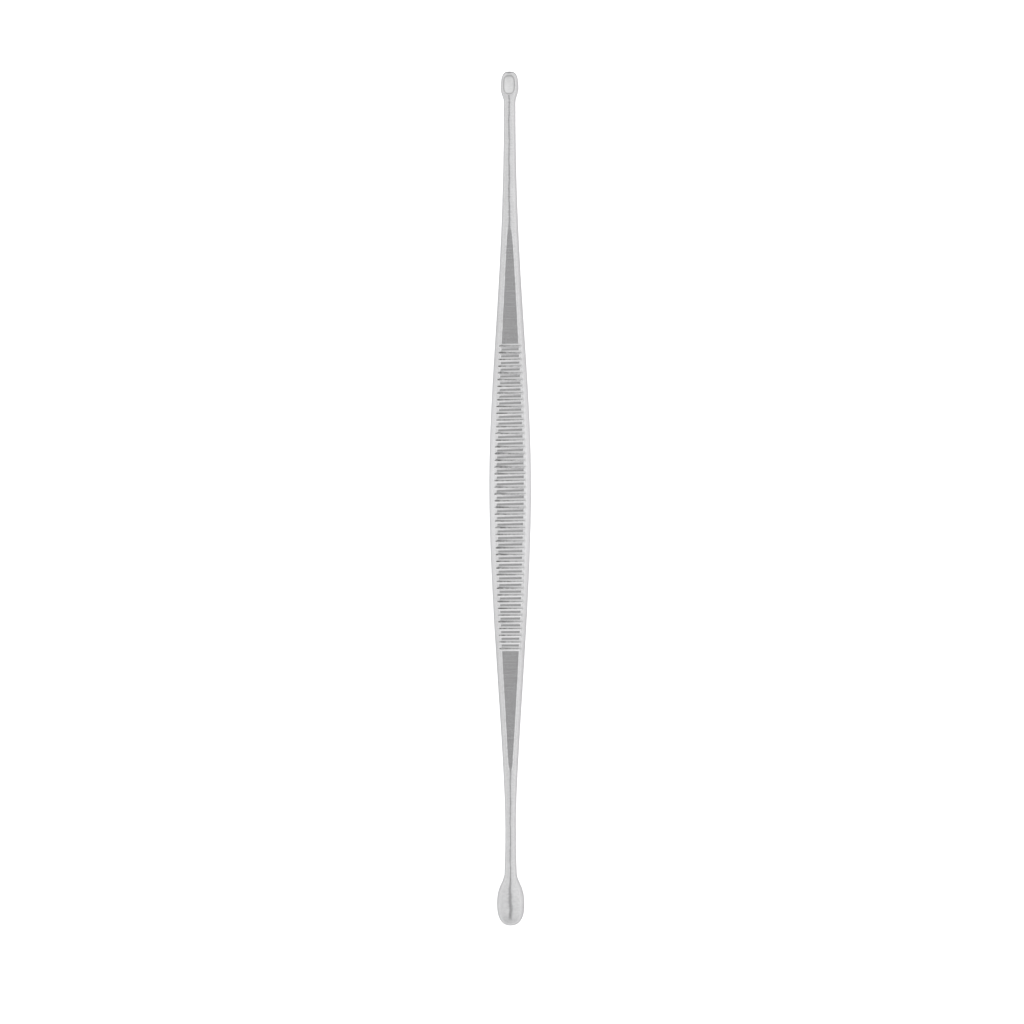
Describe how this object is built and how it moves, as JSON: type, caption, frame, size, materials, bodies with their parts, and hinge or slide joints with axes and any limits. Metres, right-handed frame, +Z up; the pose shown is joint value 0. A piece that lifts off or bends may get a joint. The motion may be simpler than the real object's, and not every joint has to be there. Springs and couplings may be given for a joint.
{
  "type": "bone scoop",
  "caption": "Slim one-piece steel bone scoop with a serrated flat grip, a small oval cup opening upwards at one end and a larger egg-shaped cup opening downwards at the other.",
  "frame": {"origin": "middle of the scoop's length and width, on the surface that its back flat lies on", "axes": "+X across the grip, +Y along the scoop towards the small cup, +Z up out of the front flat, the way the small cup opens"},
  "size_m": [0.0068, 0.14, 0.0037],
  "materials": {
    "satin_steel": "satin ground stainless steel"
  },
  "bodies": {
    "root": {"bone_scoop": "satin_steel"}
  },
  "joints": []
}
